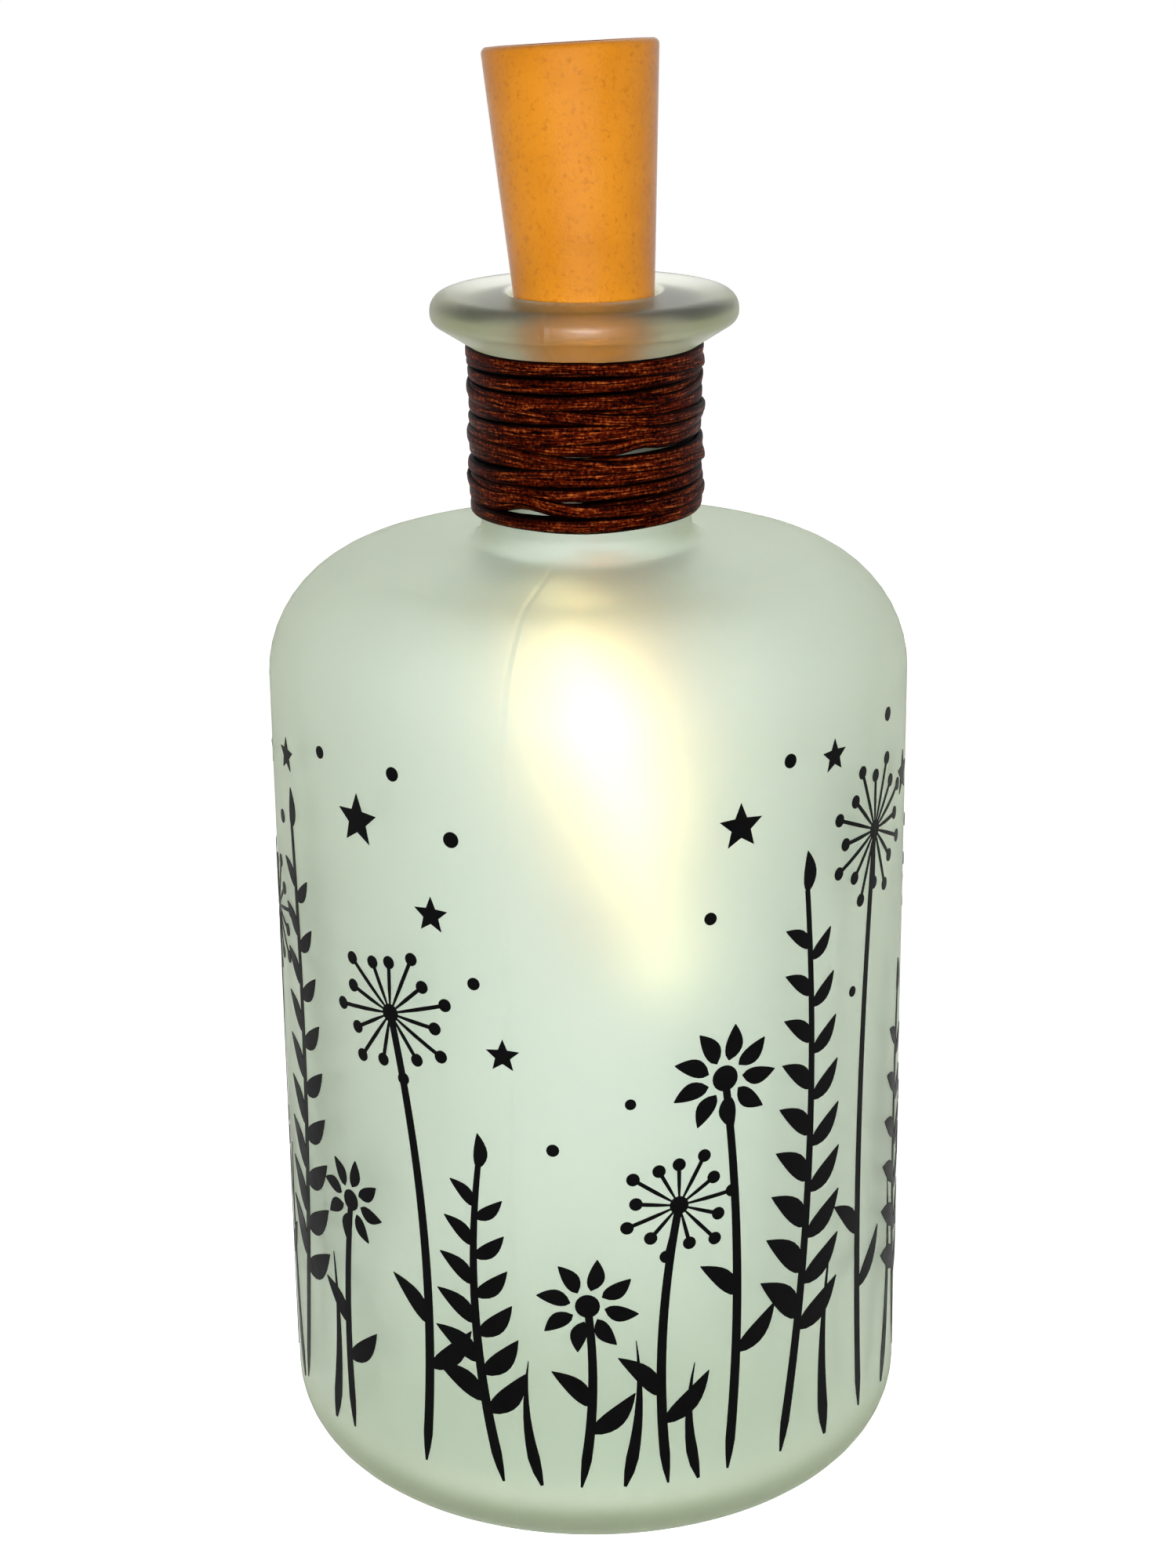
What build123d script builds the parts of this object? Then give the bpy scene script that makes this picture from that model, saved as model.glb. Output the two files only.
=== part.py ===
from build123d import *
import math
import os

# A frosted glass bottle lit from inside by a light string that hangs from a cork-shaped stopper.
# Millimetres, +Z up, origin at the middle of the bottle's base, +Y away from the viewer.

# Bottle glass
body_diameter = 82.0
side_height = 108.15
heel_radius = 10.3
foot_ring_width = 4.0
push_up = 3.0
glass_wall = 3.0
base_thickness = 5.0
shoulder_radius = 15.2
shoulder_slope = 7.0
neck_wall = 4.1
neck_fillet = 2.5
neck_length = 21.65
flange_overhang = 5.95
flange_slope = 32.2
flange_root_fillet = 0.8
flange_edge_rounding = 1.4
flange_band = 0.45
flange_top_rounding = 2.2
mouth_rounding = 1.2
throat_widening = 1.75
throat_fillet = 3.0

# Twine wound round the neck
twine_diameter = 1.3
twine_gap = 0.45
twine_clearance = 0.05

# Cork stopper: how it sits in the mouth
cork_insertion = 14.0
cork_clearance = 0.4
cork_lean_left = 2.7
cork_lean_back = 4.0
cork_taper = 4.1

# Cork stopper: moulding
shell_wall = 1.05
floor_thickness = 3.2
grommet_recess = 1.0
cork_edge_rounding = 0.8
cap_rim_wall = 1.25
cap_ledge = 0.6

# Cells and their tray
cell_diameter = 11.6
cell_height = 5.4
cell_count = 3
cell_cap_diameter = 9.4
cell_cap_height = 0.5
cell_rounding = 0.4
cell_clearance = 0.1
tray_wall = 0.6
tray_floor = 0.8
tray_head = 1.0
tray_flange_thickness = 1.2
tray_flange_overhang = 1.15
tray_spring_hole = 9.6
tray_tab_hole = 3.4

# Contacts
strip_thickness = 0.3
strip_width = 3.0
strip_clearance = 0.2
strip_jog = 0.8
plate_thickness = 0.3
plate_diameter = 9.0
plate_dimple = 0.35
tab_width = 2.0
spring_room = 3.2
spring_wire = 0.5
spring_turns = 3.5
spring_top_radius = 2.2
spring_foot_radius = 4.4

# Boards and switch
board_thickness = 1.0
board_clearance = 0.3
resistor_length = 2.0
resistor_width = 1.25
resistor_height = 0.5
switch_width = 7.0
switch_height = 6.5
switch_well_floor = 1.6
plunger_width = 3.0
plunger_clearance = 0.15
plunger_foot_room = 1.3

# Cap and button
cap_skirt_height = 12.8
cap_skirt_wall = 1.1
cap_thickness = 2.9
cap_clearance = 0.3
seat_gap = 0.1
button_diameter = 7.4
button_flange_width = 0.8
button_flange_thickness = 0.9
button_clearance = 0.3
button_sink = 0.6
button_rise = 0.8
button_socket = 2.0
button_dish_depth = 0.35
pry_notch_radius = 1.3

# Grommet
grommet_stem_radius = 1.95
grommet_lip = 0.9
grommet_lip_thickness = 0.8

# Light string
wire_diameter = 0.7
wire_clearance = 0.1
lead_length = 15.0
coil_room = 2.55
coil_entry_height = 11.0
coil_entry_turns = 1.25
coil_height = 46.0
coil_turns = 19.5
coil_start = 60.0
coil_gather = 0.24
coil_sway = 0.35
coil_sway_waves = 3.0
led_count = 10
bead_length = 3.9
bead_radius = 1.2
bead_skin = 0.06
chip_length = 1.0
chip_width = 0.7
chip_height = 0.35
chip_clearance = 0.02

# Sizes that follow from these
body_radius = body_diameter / 2
tray_radius = cell_diameter / 2 + cell_clearance + tray_wall
strip_radius = tray_radius + strip_thickness
cavity_radius = strip_radius + strip_clearance
taper = math.tan(math.radians(cork_taper))

terminal_top = floor_thickness + board_thickness
tray_bottom = terminal_top + spring_room
cells_bottom = tray_bottom + tray_floor
cells_top = cells_bottom + cell_count * cell_height
plate_bottom = cells_top + plate_dimple
pocket_top = plate_bottom + plate_thickness
flange_bottom = pocket_top + tray_head
switch_board_bottom = flange_bottom + tray_flange_thickness
switch_board_top = switch_board_bottom + board_thickness
cap_bottom = switch_board_top + cap_skirt_height
cork_length = cap_bottom + cap_thickness
ledge_height = cap_bottom - seat_gap


def cork_radius(height):
    return cavity_radius + shell_wall + taper * (height - floor_thickness)


flange_radius = tray_radius + tray_flange_overhang
board_radius = flange_radius - board_clearance
recess_radius = cork_radius(ledge_height) - cap_rim_wall
ledge_radius = recess_radius - cap_ledge
cap_radius = recess_radius - cap_clearance

bore_radius = cork_radius(cork_insertion) + cork_clearance
neck_radius = bore_radius + neck_wall
lip_radius = neck_radius + flange_overhang
throat_radius = bore_radius + throat_widening


def rise(angle):
    return math.tan(math.radians(angle))


# Heights up the bottle, where the sharp corners of its outline would be
shoulder_corner = side_height + shoulder_radius * rise((90 - shoulder_slope) / 2)
neck_root = shoulder_corner + (body_radius - neck_radius) * rise(shoulder_slope)
neck_start = neck_root + neck_fillet * rise((90 - shoulder_slope) / 2)
flange_root = neck_start + neck_length
flange_corner = flange_root + flange_overhang * rise(flange_slope)
band_bottom = flange_corner + flange_edge_rounding * rise((90 - flange_slope) / 2)
rim_height = band_bottom + flange_band + flange_top_rounding

# The cork's own frame: its bottom face is at zero and its axis leans in the mouth
lean = Vector(-rise(cork_lean_left), rise(cork_lean_back), 1).normalized()
lip_centre = Vector(0, 0, rim_height)
cork_right = Vector(1, 0, 0) - lean * lean.X
cork_plane = Plane(lip_centre - lean * cork_insertion, x_dir=cork_right, z_dir=lean)


def in_cork(shape):
    return shape.moved(cork_plane.location)


def turned(*corners):
    outline = Polyline(*corners, close=True)
    return revolve(Plane.XZ * make_face(outline), Axis.Z)


def ring(outer, inner, low, high):
    return turned((inner, low), (outer, low), (outer, high), (inner, high))


def disc(radius, low, high):
    return Pos(0, 0, low) * Cylinder(radius, high - low, align=(Align.CENTER, Align.CENTER, Align.MIN))


def block(length, width, low, high, x=0.0, y=0.0):
    seated = (Align.CENTER, Align.CENTER, Align.MIN)
    return Pos(x, y, low) * Box(length, width, high - low, align=seated)


# Wound wire: a chain of biarcs through points of a curve, half a turn or less apart
def curve_tangent(curve, t, step=1e-4):
    return (curve(t + step) - curve(t - step)).normalized()


def biarc(start, start_way, end, end_way):
    across = end - start
    both = start_way + end_way
    spread = 2 * (1 - start_way.dot(end_way))
    along = across.dot(both)
    if spread < 1e-9:
        reach = across.dot(across) / (2 * along)
    else:
        reach = (math.sqrt(along**2 + spread * across.dot(across)) - along) / spread
    middle = (start + start_way * reach + end - end_way * reach) * 0.5
    first = TangentArc(start, middle, tangent=start_way)
    return [first, TangentArc(middle, end, tangent=first % 1)]


def wound_path(curve, turns, tail):
    count = math.ceil(turns * 2)
    places = [turns * i / count for i in range(count + 1)]
    points = [curve(t) for t in places]
    ways = [curve_tangent(curve, t) for t in places]
    edges = [Line(points[0] - ways[0] * tail, points[0])]
    for i in range(count):
        edges += biarc(points[i], ways[i], points[i + 1], ways[i + 1])
    edges.append(Line(points[-1], points[-1] + ways[-1] * tail))
    return Wire(edges)


def tube(path, diameter):
    start = Plane(path @ 0, z_dir=path % 0)
    return sweep(start * Circle(diameter / 2), path=path)


def least_gap(path, diameter, steps=40):
    points = [tuple(edge @ (i / steps)) for edge in path.edges() for i in range(steps)]
    half_turn = 2 * steps
    gaps = []
    for i, point in enumerate(points):
        beside = points[i + half_turn : i + 3 * half_turn]
        gaps += [math.dist(point, other) for other in beside]
    return round(min(gaps) - diameter, 3)


# Bottle
def make_bottle():
    foot_radius = body_radius - heel_radius - foot_ring_width
    inner_radius = body_radius - glass_wall
    inside_drop = glass_wall / math.cos(math.radians(shoulder_slope))
    inner_corner = shoulder_corner + glass_wall * rise(shoulder_slope) - inside_drop
    throat_height = shoulder_corner + (body_radius - throat_radius) * rise(shoulder_slope) - inside_drop
    corners = [
        ((body_radius, 0), heel_radius),
        ((body_radius, shoulder_corner), shoulder_radius),
        ((neck_radius, neck_root), neck_fillet),
        ((neck_radius, flange_root), flange_root_fillet),
        ((lip_radius, flange_corner), flange_edge_rounding),
        ((lip_radius, rim_height), flange_top_rounding),
        ((bore_radius, rim_height), mouth_rounding),
        ((bore_radius, rim_height - cork_insertion), throat_fillet),
        ((throat_radius, throat_height), throat_fillet),
        ((inner_radius, inner_corner), shoulder_radius - glass_wall),
        ((inner_radius, base_thickness), heel_radius - glass_wall),
    ]
    foot = (foot_radius, 0)
    floor_edge = (foot_radius, base_thickness)
    wall = FilletPolyline(foot, *[c for c, _ in corners], floor_edge, radius=[r for _, r in corners])
    under = TangentArc((0, push_up), foot, tangent=(1, 0))
    floor = TangentArc((0, base_thickness + push_up), floor_edge, tangent=(1, 0))
    axis = Line((0, push_up), (0, base_thickness + push_up))
    return revolve(Plane.XZ * make_face([under, *wall.edges(), floor, axis]), Axis.Z)


# Twine: one strand wound up the neck as often as the neck has room
def make_twine():
    room = neck_length - twine_diameter - 2 * twine_clearance
    turns = math.floor(room / (twine_diameter + twine_gap))
    radius = neck_radius + twine_clearance + twine_diameter / 2
    low = neck_start + twine_clearance + twine_diameter / 2

    def strand(t):
        angle = 2 * math.pi * t
        return Vector(radius * math.sin(angle), radius * math.cos(angle), low + room * t / turns)

    path = wound_path(strand, turns, twine_diameter)
    print("twine turns", turns, "least gap", least_gap(path, twine_diameter))
    return tube(path, twine_diameter)


# Cork shell: tapered moulding with a floor, a tapered cavity and a seat for the cap
def make_cork_shell():
    top_radius = cork_radius(cork_length)
    bottom_radius = cork_radius(0)
    outline = FilletPolyline(
        (0, 0),
        (bottom_radius, 0),
        (top_radius, cork_length),
        (0, cork_length),
        radius=[cork_edge_rounding, cork_edge_rounding],
    )
    body = revolve(Plane.XZ * make_face([*outline.edges(), Line((0, cork_length), (0, 0))]), Axis.Z)
    cavity = turned(
        (0, floor_thickness),
        (cavity_radius, floor_thickness),
        (ledge_radius, ledge_height),
        (recess_radius, ledge_height),
        (recess_radius, cork_length),
        (0, cork_length),
    )
    grommet_room = grommet_stem_radius + grommet_lip + wire_clearance
    recess = disc(grommet_room, floor_thickness - grommet_recess, floor_thickness)
    outlet = disc(grommet_stem_radius + wire_clearance, 0, floor_thickness)
    return body - cavity - recess - outlet


# Grommet: a soft bush with a lip on each side of the floor
def make_grommet():
    hole = wire_diameter / 2 + wire_clearance
    lip = grommet_stem_radius + grommet_lip
    seat = floor_thickness - grommet_recess
    return turned(
        (hole, -grommet_lip_thickness),
        (grommet_stem_radius, -grommet_lip_thickness),
        (lip, 0),
        (grommet_stem_radius, 0),
        (grommet_stem_radius, seat),
        (lip, seat),
        (lip, seat + grommet_lip_thickness),
        (hole, seat + grommet_lip_thickness),
    )


def make_terminal_board():
    return disc(cavity_radius - board_clearance, floor_thickness, terminal_top)


def make_contact_spring():
    low = terminal_top + spring_wire / 2
    high = cells_bottom - seat_gap - spring_wire / 2

    def coil(t):
        share = t / spring_turns
        radius = spring_foot_radius + (spring_top_radius - spring_foot_radius) * share
        angle = 2 * math.pi * t
        return Vector(radius * math.cos(angle), radius * math.sin(angle), low + (high - low) * share)

    path = wound_path(coil, spring_turns, spring_wire)
    print("spring least gap", least_gap(path, spring_wire))
    return tube(path, spring_wire)


# Tray: a tube that is open on one side, with a flange that carries the board
def make_battery_tray():
    pocket_radius = cell_diameter / 2 + cell_clearance
    barrel = disc(tray_radius, tray_bottom, flange_bottom)
    flange = disc(flange_radius, flange_bottom, switch_board_bottom)
    pocket = disc(pocket_radius, cells_bottom, pocket_top)
    window_size = 2 * flange_radius
    window = block(window_size, window_size, cells_bottom, pocket_top, x=flange_radius)
    spring_hole = disc(tray_spring_hole / 2, tray_bottom, cells_bottom)
    tab_hole = block(tray_tab_hole, tray_tab_hole, pocket_top, switch_board_bottom)
    strip_notch = block(
        window_size,
        strip_width + 2 * strip_clearance,
        flange_bottom,
        switch_board_bottom,
        x=strip_clearance - tray_radius - flange_radius,
    )
    return barrel + flange - pocket - window - spring_hole - tab_hole - strip_notch


# Cells: the negative cap points down, towards the spring
def make_cell(index):
    low = cells_bottom + index * cell_height
    can_low = low + cell_cap_height
    high = low + cell_height
    can = fillet(disc(cell_diameter / 2, can_low, high).edges(), cell_rounding)
    return can + disc(cell_cap_diameter / 2, low, can_low)


# Plate on the top cell, with a dimple below and a solder tab up to the board
def make_positive_contact():
    plate = disc(plate_diameter / 2, plate_bottom, pocket_top)
    dimple = turned(
        (0, cells_top), (tab_width / 2, cells_top), (tab_width, plate_bottom), (0, plate_bottom)
    )
    tab = block(plate_thickness, tab_width, pocket_top, switch_board_bottom)
    return plate + dimple + tab


# Strip down the outside of the tray, with a foot that is set in below it
def make_return_strip():
    inside = -tray_radius
    outside = -strip_radius
    jog_top = tray_bottom - strip_clearance
    jog_bottom = jog_top - strip_jog
    foot = terminal_top + seat_gap
    outline = Polyline(
        (outside, switch_board_bottom),
        (inside, switch_board_bottom),
        (inside, jog_top),
        (inside + strip_jog, jog_bottom),
        (inside + strip_jog, foot),
        (outside + strip_jog, foot),
        (outside + strip_jog, jog_bottom),
        (outside, jog_top),
        close=True,
    )
    return extrude(Plane.XZ * make_face(outline), amount=strip_width / 2, both=True)


def make_switch_board():
    return disc(board_radius, switch_board_bottom, switch_board_top)


def make_resistor():
    beside_switch = (switch_width / 2 + board_radius - cap_skirt_wall) / 2
    return block(
        resistor_width,
        resistor_length,
        switch_board_top,
        switch_board_top + resistor_height,
        x=beside_switch,
    )


def make_switch_body():
    top = switch_board_top + switch_height
    well = plunger_width + 2 * plunger_clearance
    body = block(switch_width, switch_width, switch_board_top, top)
    return body - block(well, well, switch_board_top + switch_well_floor, top)


button_top = cork_length - button_sink
button_flange_top = cap_bottom - button_rise - seat_gap
button_flange_bottom = button_flange_top - button_flange_thickness
plunger_bottom = switch_board_top + switch_well_floor + plunger_foot_room
plunger_top = button_flange_bottom + button_socket


def make_plunger():
    return block(plunger_width, plunger_width, plunger_bottom, plunger_top)


# Button: flanged under the cap, with a dished top and a socket for the plunger
def make_push_button():
    stem = disc(button_diameter / 2, button_flange_top, button_top)
    flange = disc(button_diameter / 2 + button_flange_width, button_flange_bottom, button_flange_top)
    dish_reach = button_diameter / 2 - button_dish_depth
    dish_radius = (dish_reach**2 + button_dish_depth**2) / (2 * button_dish_depth)
    dish = Pos(0, 0, button_top + dish_radius - button_dish_depth) * Sphere(dish_radius)
    socket = block(plunger_width, plunger_width, button_flange_bottom, plunger_top)
    return stem + flange - dish - socket


# Cap: a lid on a skirt that stands on the board, with a notch to pry it up by
def make_top_cap():
    lid = disc(cap_radius, cap_bottom, cork_length)
    skirt = ring(flange_radius, flange_radius - cap_skirt_wall, switch_board_top, cap_bottom)
    hole = disc(button_diameter / 2 + button_clearance, cap_bottom, cork_length)
    notch = Pos(0, -cap_radius, 0) * disc(pry_notch_radius, cap_bottom, cork_length)
    return lid + skirt - hole - notch


# Light string: a straight lead, then a coil that widens from the lead and hangs in line with the cork
coil_radius = bore_radius - coil_room
lead_end = -lead_length


def string_curve(t):
    angle = 2 * math.pi * t + math.radians(coil_start)
    if t < coil_entry_turns:
        share = max(t, 0) / coil_entry_turns
        radius = coil_radius * share**2 * (3 - 2 * share)
        height = lead_end - wire_diameter - coil_entry_height * t / coil_entry_turns
    else:
        share = (t - coil_entry_turns) / coil_turns
        radius = coil_radius - coil_sway * (1 - math.cos(2 * math.pi * coil_sway_waves * share)) / 2
        drop = coil_height * share * (1 - coil_gather * (1 - share**2))
        height = lead_end - wire_diameter - coil_entry_height - drop
    return Vector(radius * math.cos(angle), radius * math.sin(angle), height)


def make_string_lead():
    return disc(wire_diameter / 2, lead_end, floor_thickness)


string_path = wound_path(string_curve, coil_entry_turns + coil_turns, wire_diameter)


string_coil = tube(string_path, wire_diameter)


def check_string_coil():
    expected = string_path.length * math.pi * wire_diameter**2 / 4
    gap = least_gap(string_path, wire_diameter)
    print("string coil length", round(string_path.length, 1), "least gap", gap)
    print("string coil volume", round(string_coil.volume, 2), "expected", round(expected, 2))


# A plane at each light: its X along the wire and its Z away from the middle of the coil
def led_planes():
    planes = []
    for i in range(1, led_count + 1):
        share = (i * string_path.length / led_count - bead_length / 2) / string_path.length
        place = string_path @ share
        way = string_path % share
        outward = Vector(place.X, place.Y, 0)
        outward = (outward - way * outward.dot(way)).normalized()
        planes.append(Plane(place, x_dir=way, z_dir=outward))
    return planes


# Resin drops, round in the middle and drawn out along the wire, and the chips that they cover
def make_led_beads():
    half = bead_length / 2
    neck = wire_diameter / 2 + bead_skin
    turn = math.atan2(neck, half) + math.acos(bead_radius / math.hypot(half, neck))
    side = (bead_radius * math.cos(turn), bead_radius * math.sin(turn))
    far_side = (-side[0], side[1])
    outline = [
        Polyline((-half, 0), (-half, neck), far_side),
        ThreePointArc(far_side, (0, bead_radius), side),
        Polyline(side, (half, neck), (half, 0), (-half, 0)),
    ]
    drop = revolve(Plane.XZ * make_face([edge for line in outline for edge in line.edges()]), Axis.X)
    return Compound([plane * (drop - led_chip()) - string_coil for plane in led_planes()])


def led_chip():
    low = wire_diameter / 2 + chip_clearance
    return block(chip_length, chip_width, low, low + chip_height)


def make_led_chips():
    return Compound([plane * led_chip() for plane in led_planes()])


check_string_coil()
os.makedirs("parts", exist_ok=True)

nodes = {"bottle": make_bottle(), "neck_twine": make_twine()}

cork_pieces = {
    "cork_shell": make_cork_shell(),
    "wire_grommet": make_grommet(),
    "terminal_board": make_terminal_board(),
    "contact_spring": make_contact_spring(),
    "string_lead": make_string_lead(),
    "string_coil": string_coil,
    "led_beads": make_led_beads(),
    "led_chips": make_led_chips(),
    "battery_tray": make_battery_tray(),
    "positive_contact": make_positive_contact(),
    "return_strip": make_return_strip(),
    "switch_board": make_switch_board(),
    "series_resistor": make_resistor(),
    "switch_body": make_switch_body(),
    "switch_plunger": make_plunger(),
    "push_button": make_push_button(),
    "top_cap": make_top_cap(),
}
for number in range(cell_count):
    cork_pieces[f"button_cell_{number + 1}"] = make_cell(number)

for name, shape in cork_pieces.items():
    nodes[name] = in_cork(shape)

for name, shape in nodes.items():
    export_step(shape, f"parts/{name}.step")

print("rim height", round(rim_height, 3), "bore", round(2 * bore_radius, 3))
print("cork length", round(cork_length, 3))
print("cork axis", [round(v, 6) for v in lean], "cork bottom", [round(v, 3) for v in cork_plane.origin])
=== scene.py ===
# Cork bottle light: frosted bottle, wound neck, tan stopper and the light string that hangs from it
import math

import bmesh
import bpy
from mathutils import Matrix, Vector, noise


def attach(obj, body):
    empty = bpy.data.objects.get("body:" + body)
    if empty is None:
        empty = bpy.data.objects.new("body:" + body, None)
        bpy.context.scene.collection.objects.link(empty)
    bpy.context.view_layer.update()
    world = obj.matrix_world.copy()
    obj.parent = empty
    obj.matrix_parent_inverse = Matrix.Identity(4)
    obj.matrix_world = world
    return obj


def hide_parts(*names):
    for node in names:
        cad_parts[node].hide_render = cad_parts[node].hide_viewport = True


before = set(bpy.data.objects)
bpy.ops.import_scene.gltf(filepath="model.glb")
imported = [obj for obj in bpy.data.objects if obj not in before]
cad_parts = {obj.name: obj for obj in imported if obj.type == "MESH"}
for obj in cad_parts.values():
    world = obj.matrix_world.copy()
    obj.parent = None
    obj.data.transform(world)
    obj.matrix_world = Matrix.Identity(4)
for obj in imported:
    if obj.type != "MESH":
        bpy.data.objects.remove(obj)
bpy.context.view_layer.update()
scene = bpy.context.scene
mm = 0.001  # sizes below are in millimetres, the scene is in metres


# Camera
cameraSet = {
    "place": (-0.2, -375.8, 215.0),
    "pitch": 18.2,  # degrees below level
    "roll": -0.65,
    "lens": 69.42,
    "sensor": 36.0,
    "nearest": 0.01,  # metres from the lens
}


def addCamera():
    data = bpy.data.cameras.new("camera")
    data.lens = cameraSet["lens"]
    data.sensor_width = cameraSet["sensor"]
    data.clip_start = cameraSet["nearest"]
    camera = bpy.data.objects.new("camera", data)
    tilt = Matrix.Rotation(math.radians(90 - cameraSet["pitch"]), 4, "X")
    roll = Matrix.Rotation(math.radians(cameraSet["roll"]), 4, "Z")
    camera.matrix_world = Matrix.Translation(Vector(cameraSet["place"]) * mm) @ tilt @ roll
    scene.collection.objects.link(camera)
    scene.camera = camera
    print("camera set")


addCamera()


# The stopper's own frame: zero is its bottom face, and its axis leans in the mouth
corkFrame = {
    "leanLeft": 2.7,  # degrees
    "leanBack": 4.0,  # degrees
    "insertion": 14.0,
    "rimHeight": 156.028,
}


def corkMatrix():
    across = -math.tan(math.radians(corkFrame["leanLeft"]))
    back = math.tan(math.radians(corkFrame["leanBack"]))
    axis = Vector((across, back, 1)).normalized()
    right = (Vector((1, 0, 0)) - axis * axis.x).normalized()
    behind = axis.cross(right)
    bottom = Vector((0, 0, corkFrame["rimHeight"])) - axis * corkFrame["insertion"]
    turn = Matrix((right, behind, axis)).transposed().to_4x4()
    return Matrix.Translation(bottom * mm) @ turn


corkSpace = corkMatrix()


# Small helpers for nodes
def newMaterial(name):
    material = bpy.data.materials.new(name)
    material.use_nodes = True
    tree = material.node_tree
    return material, tree, tree.nodes["Principled BSDF"]


def addNode(tree, kind, **values):
    node = tree.nodes.new(kind)
    for key, value in values.items():
        if key in node.inputs:
            node.inputs[key].default_value = value
        else:
            setattr(node, key, value)
    return node


def fillSockets(tree, sockets, values):
    for socket, value in zip(sockets, values):
        if isinstance(value, bpy.types.NodeSocket):
            tree.links.new(value, socket)
        else:
            socket.default_value = value


def objectCoords(tree):
    return tree.nodes.new("ShaderNodeTexCoord").outputs["Object"]


def heightNode(tree, coords):
    node = tree.nodes.new("ShaderNodeSeparateXYZ")
    tree.links.new(coords, node.inputs["Vector"])
    return node.outputs["Z"]


def mappingNode(tree, vector, scale):
    node = addNode(tree, "ShaderNodeMapping", Scale=scale)
    tree.links.new(vector, node.inputs["Vector"])
    return node.outputs["Vector"]


def mathNode(tree, operation, *values):
    node = addNode(tree, "ShaderNodeMath", operation=operation)
    fillSockets(tree, node.inputs, values)
    return node.outputs["Value"]


def vectorNode(tree, operation, result, *values):
    node = addNode(tree, "ShaderNodeVectorMath", operation=operation)
    fillSockets(tree, node.inputs, values)
    return node.outputs[result]


def mixNode(tree, kind, *values):
    node = addNode(tree, "ShaderNodeMix", data_type=kind)
    fillSockets(tree, [node.inputs[name] for name in ("Factor", "A", "B")], values)
    return node.outputs["Result"]


def noiseNode(tree, vector, scale, detail=3.0, roughness=0.55):
    node = addNode(tree, "ShaderNodeTexNoise", Scale=scale, Detail=detail, Roughness=roughness)
    tree.links.new(vector, node.inputs["Vector"])
    return node.outputs["Fac"]


def rampNode(tree, value, stops):
    node = tree.nodes.new("ShaderNodeValToRGB")
    ramp = node.color_ramp
    while len(ramp.elements) < len(stops):
        ramp.elements.new(0.5)
    for element, (place, colour) in zip(ramp.elements, stops):
        element.position = place
        element.color = (*colour, 1)
    tree.links.new(value, node.inputs["Fac"])
    return node.outputs["Color"]


def rangeNode(tree, value, low, high, fromLow=0.3, fromHigh=0.7):
    node = tree.nodes.new("ShaderNodeMapRange")
    node.inputs["From Min"].default_value = fromLow
    node.inputs["From Max"].default_value = fromHigh
    node.inputs["To Min"].default_value = low
    node.inputs["To Max"].default_value = high
    tree.links.new(value, node.inputs["Value"])
    return node.outputs["Result"]


def bumpNode(tree, height, strength, distance, before=None):
    node = addNode(tree, "ShaderNodeBump", Strength=strength, Distance=distance)
    tree.links.new(height, node.inputs["Height"])
    if before is not None:
        tree.links.new(before, node.inputs["Normal"])
    return node.outputs["Normal"]


def twoTone(tree, value, dark, light):
    return rampNode(tree, value, [(0.3, dark), (0.7, light)])


# Finishes that are a mottled colour with a fine grain: the film and the small inner pieces have one
grainDepth = 0.00005


def grainMaterial(name, look):
    material, tree, shader = newMaterial(name)
    coords = objectCoords(tree)
    mottle = noiseNode(tree, coords, look["mottle"], 4.0)
    tree.links.new(twoTone(tree, mottle, look["dark"], look["light"]), shader.inputs["Base Color"])
    tree.links.new(rangeNode(tree, mottle, *look["rough"]), shader.inputs["Roughness"])
    grain = noiseNode(tree, coords, look["grain"], 2.0)
    tree.links.new(bumpNode(tree, grain, look["bump"], grainDepth), shader.inputs["Normal"])
    shader.inputs["Metallic"].default_value = look.get("metal", 0.0)
    shader.inputs["Specular IOR Level"].default_value = look.get("shine", 0.4)
    shader.inputs["Coat Weight"].default_value = look.get("coat", 0.0)
    return material


# Small helpers for meshes
def finishPiece(bm, name, body, material, stands=(), sharp=35):
    bmesh.ops.remove_doubles(bm, verts=bm.verts, dist=1e-7)
    bmesh.ops.recalc_face_normals(bm, faces=bm.faces)
    mesh = bpy.data.meshes.new(name)
    bm.to_mesh(mesh)
    bm.free()
    mesh.shade_smooth()
    mesh.set_sharp_from_angle(angle=math.radians(sharp))
    mesh.materials.append(material)
    piece = bpy.data.objects.new(name, mesh)
    scene.collection.objects.link(piece)
    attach(piece, body)
    if stands:
        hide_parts(*stands)
    return piece


def joinMesh(bm, part, name):
    mesh = bpy.data.meshes.new(name)
    part.to_mesh(mesh)
    part.free()
    bm.from_mesh(mesh)
    bpy.data.meshes.remove(mesh)


def roundedProfile(bm, corners, closed=False, segments=8):
    points = [Vector((r, 0, z)) * mm for r, z, rounding in corners]
    verts = [bm.verts.new(point) for point in points]
    count = len(verts)
    last = count if closed else count - 1
    for index in range(last):
        bm.edges.new((verts[index], verts[(index + 1) % count]))
    for index, (r, z, rounding) in enumerate(corners):
        if rounding:
            here = points[index]
            turn = (here - points[index - 1]).angle(points[(index + 1) % count] - here)
            reach = rounding * mm * math.tan(turn / 2)
            bmesh.ops.bevel(
                bm,
                geom=[verts[index]],
                offset=reach,
                offset_type="OFFSET",
                segments=segments,
                profile=0.5,
                affect="VERTICES",
                material=-1,
            )


def spinProfile(bm, steps):
    bmesh.ops.spin(
        bm,
        geom=bm.verts[:] + bm.edges[:],
        cent=(0, 0, 0),
        axis=(0, 0, 1),
        angle=2 * math.pi,
        steps=steps,
        use_merge=True,
    )


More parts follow.
